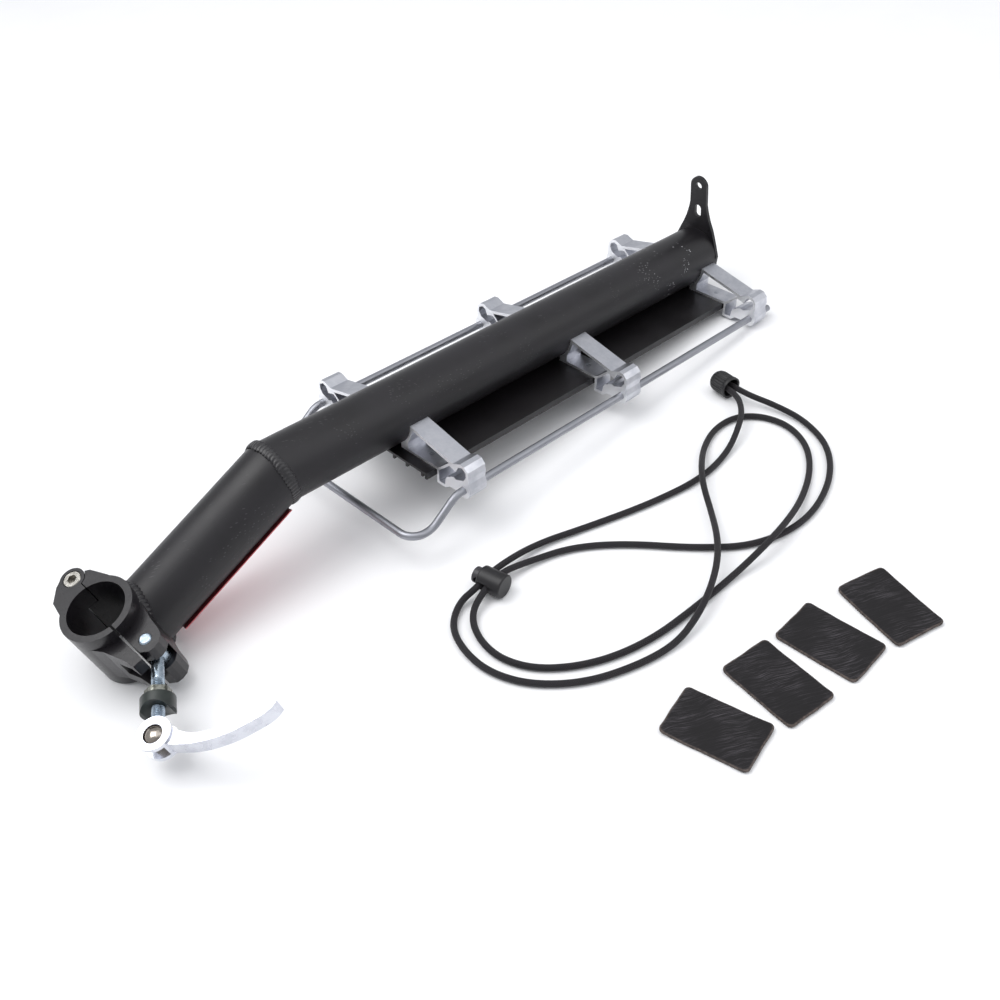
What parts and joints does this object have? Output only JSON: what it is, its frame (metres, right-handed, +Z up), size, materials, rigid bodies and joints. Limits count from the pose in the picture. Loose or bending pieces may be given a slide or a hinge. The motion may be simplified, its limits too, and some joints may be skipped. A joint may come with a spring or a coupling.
{
  "type": "seat-post bicycle rack",
  "caption": "Seat-post rear rack: bent tube beam, hinged quick-release clamp, deck on extruded brackets, bent side rail, reflector plate, elastic cord and rubber shims.",
  "frame": {"origin": "centre of the rack's and its shims' bounding box on the bench top, without the free cord", "axes": "+X along the beam towards its rear end, +Y to the rack's left rail as it lies, +Z up from the bench"},
  "size_m": [0.5524, 0.391, 0.0925],
  "materials": {
    "aluminium_rod": "satin aluminium rod",
    "black_casting": "semi-gloss black paint on cast aluminium",
    "black_deck": "satin black",
    "black_plastic": "moulded",
    "black_washer": "moulded black",
    "dark_steel": "dark zinc plate",
    "drawn_aluminium": "bright extruded aluminium",
    "polished_lever": "polished",
    "polished_steel": "polished",
    "red_tape": "red film",
    "satin_black_plate": "satin black",
    "satin_black_tube": "satin black powder coat",
    "shim_rubber": "matte moulded rubber",
    "spring_steel": "drawn wire",
    "woven_cord": "woven sheath over rubber",
    "zinc_steel": "blue zinc plate"
  },
  "bodies": {
    "rack": {"bend_weld": "satin_black_tube", "bracket_left_front": "drawn_aluminium", "bracket_left_middle": "drawn_aluminium", "bracket_left_rear": "drawn_aluminium", "bracket_right_front": "drawn_aluminium", "bracket_right_middle": "drawn_aluminium", "bracket_right_rear": "drawn_aluminium", "clamp_body": "black_casting", "clamp_weld": "satin_black_tube", "cord_end_cap": "black_plastic", "cord_lock_body": "black_plastic", "cord_lock_spring": "spring_steel", "deck_plate": "black_deck", "deck_screws": "zinc_steel", "elastic_cord": "woven_cord", "front_tube": "satin_black_tube", "hinge_pin": "zinc_steel", "main_tube": "satin_black_tube", "red_strip": "red_tape", "reflector_bracket": "satin_black_plate", "shim_1": "shim_rubber", "shim_2": "shim_rubber", "shim_3": "shim_rubber", "shim_4": "shim_rubber", "side_rail": "aluminium_rod"},
    "band": {"clamp_band": "black_casting"},
    "bolt": {"trunnion_pin": "zinc_steel", "swing_bolt": "zinc_steel", "cam_pivot": "polished_steel"},
    "washer": {"dished_washer": "black_washer"},
    "nut": {"adjusting_nut": "dark_steel"},
    "lever": {"qr_lever": "polished_lever"},
    "plunger": {"cord_lock_plunger": "black_plastic"}
  },
  "joints": [
    {"name": "band_swing", "type": "hinge", "parent": "rack", "child": "band", "pos_m": [-0.23953, 0.1522, 0.02824], "axis": [-0.2571, 0, 0.9664], "range_deg": [-95, 0]},
    {"name": "bolt_swing", "type": "hinge", "parent": "rack", "child": "bolt", "pos_m": [-0.23625, 0.0912, 0.02911], "axis": [-0.2571, 0, 0.9664], "range_deg": [-52, 35]},
    {"name": "washer_slide", "type": "slide", "parent": "bolt", "child": "washer", "axis": [-0.5653, -0.8111, -0.1504], "range_m": [-0.006, 0.007]},
    {"name": "nut_turn", "type": "hinge", "parent": "washer", "child": "nut", "pos_m": [-0.25095, 0.07011, 0.0252], "axis": [-0.5653, -0.8111, -0.1504], "range_deg": [-2160, 2520]},
    {"name": "lever_cam", "type": "hinge", "parent": "bolt", "child": "lever", "pos_m": [-0.26587, 0.0487, 0.02123], "axis": [-0.2571, 0, 0.9664], "range_deg": [-70, 45]},
    {"name": "plunger_press", "type": "slide", "parent": "rack", "child": "plunger", "axis": [0.1701, -0.9854, 0], "range_m": [0, 0.003], "stiffness_N_per_m": 600, "springref_m": -0.003, "deforming": ["cord_lock_spring"]}
  ],
  "couplings": [
    {"joint": "nut_turn", "follows": "washer_slide", "rad_per_m": 6283.2}
  ]
}
